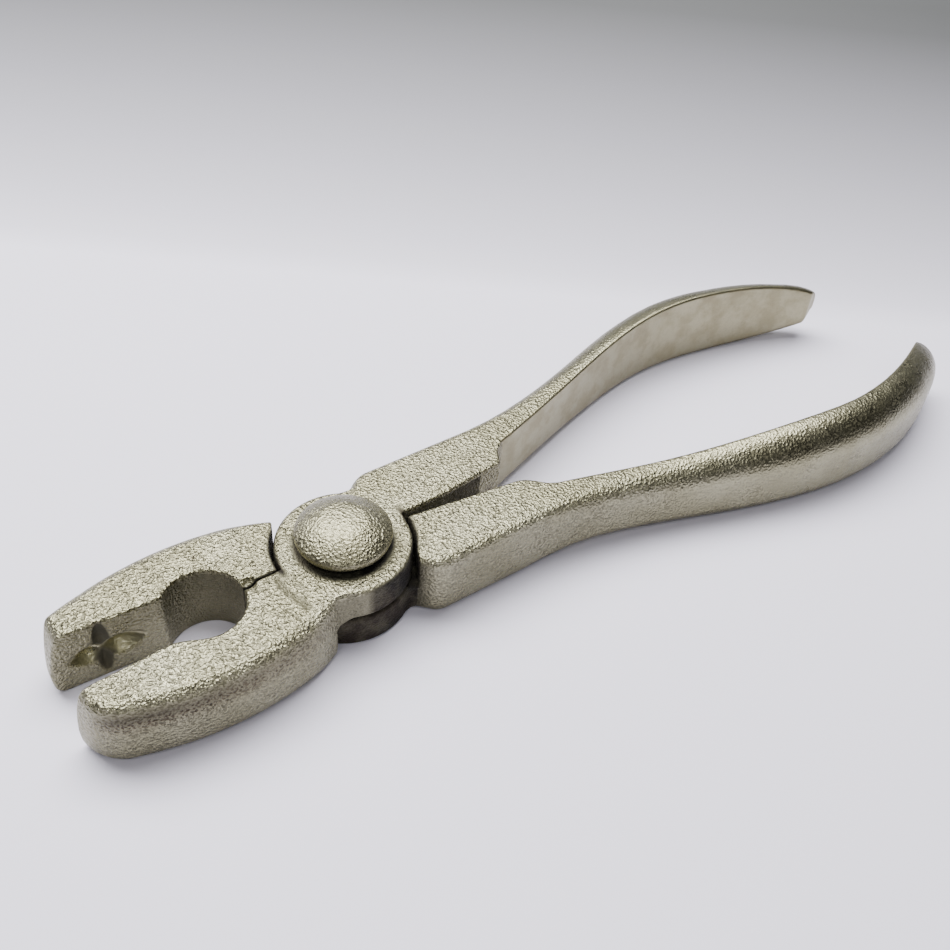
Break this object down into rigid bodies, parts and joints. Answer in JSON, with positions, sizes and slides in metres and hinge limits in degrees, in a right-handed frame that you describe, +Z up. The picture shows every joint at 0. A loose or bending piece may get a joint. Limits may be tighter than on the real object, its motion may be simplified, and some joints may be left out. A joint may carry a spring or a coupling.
{
  "type": "pliers",
  "caption": "Half-lap hand pliers with a domed rivet, jaws with a round throat, flat faces with cross grooves and bowed handles.",
  "frame": {"origin": "on the rivet's axis, in the plane of the tool's underside", "axes": "+X along the tool toward the jaws, +Y toward the upper lever's jaw, +Z up along the rivet toward its domed head"},
  "size_m": [0.2007, 0.0589, 0.0203],
  "materials": {
    "lever_metal": "nickel plated over a pebbled as-cast skin, satin on the ground inner faces",
    "rivet_metal": "nickel plated, hammered dome"
  },
  "bodies": {
    "lower": {"lower_lever": "lever_metal", "pivot_rivet": "rivet_metal"},
    "upper": {"upper_lever": "lever_metal"}
  },
  "joints": [
    {"name": "plier_hinge", "type": "hinge", "parent": "lower", "child": "upper", "pos_m": [0, 0, 0.0072], "axis": [0, 0, 1], "range_deg": [0, 60]}
  ]
}
